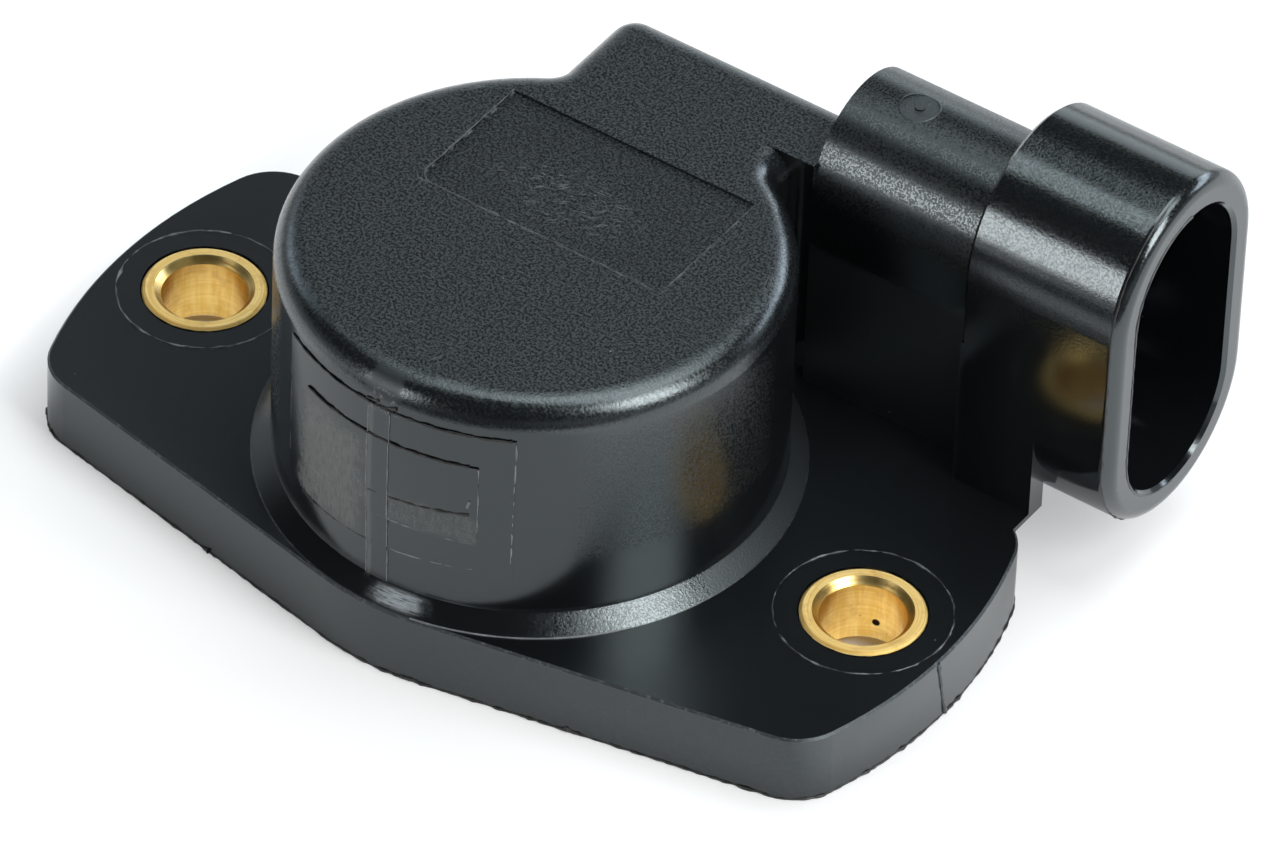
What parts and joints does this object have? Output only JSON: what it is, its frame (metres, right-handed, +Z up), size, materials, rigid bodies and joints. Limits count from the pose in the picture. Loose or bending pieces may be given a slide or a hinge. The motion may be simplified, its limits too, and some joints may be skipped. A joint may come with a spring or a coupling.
{
  "type": "throttle position sensor",
  "caption": "Rotary throttle position sensor: round black housing on a screw flange with brass bushes, a side connector shroud, and a sprung rotor with a D-shaped drive socket.",
  "frame": {"origin": "on the rotor's axis, at the flange's underside", "axes": "+X along the screw line towards the connector's mouth, +Y towards the connector, +Z up from the throttle body"},
  "size_m": [0.0521, 0.0381, 0.0231],
  "materials": {
    "black_plastic": "glass-filled, fine grain",
    "brass": "turned",
    "tinned_terminal": "tin plated",
    "film": "printed film",
    "natural_plastic": "natural",
    "rotor_plastic": "moulded",
    "contact_alloy": "rolled",
    "spring_steel": "drawn wire",
    "seal_rubber": "matt",
    "plate_plastic": "moulded"
  },
  "bodies": {
    "case": {"housing": "black_plastic", "left_bush": "brass", "right_bush": "brass", "terminal_supply": "tinned_terminal", "terminal_signal": "tinned_terminal", "terminal_ground": "tinned_terminal", "film_element": "film", "film_wedge": "natural_plastic", "return_spring": "spring_steel", "rotor_seal": "seal_rubber", "retainer_plate": "plate_plastic"},
    "rotor": {"rotor": "rotor_plastic", "contact_wiper": "contact_alloy"}
  },
  "joints": [
    {"name": "rotor_turn", "type": "hinge", "parent": "case", "child": "rotor", "pos_m": [0, 0, 0], "axis": [0, 0, 1], "range_deg": [0, 100], "stiffness_Nm_per_rad": 0.004, "springref_deg": -28.65, "deforming": ["return_spring"]}
  ]
}
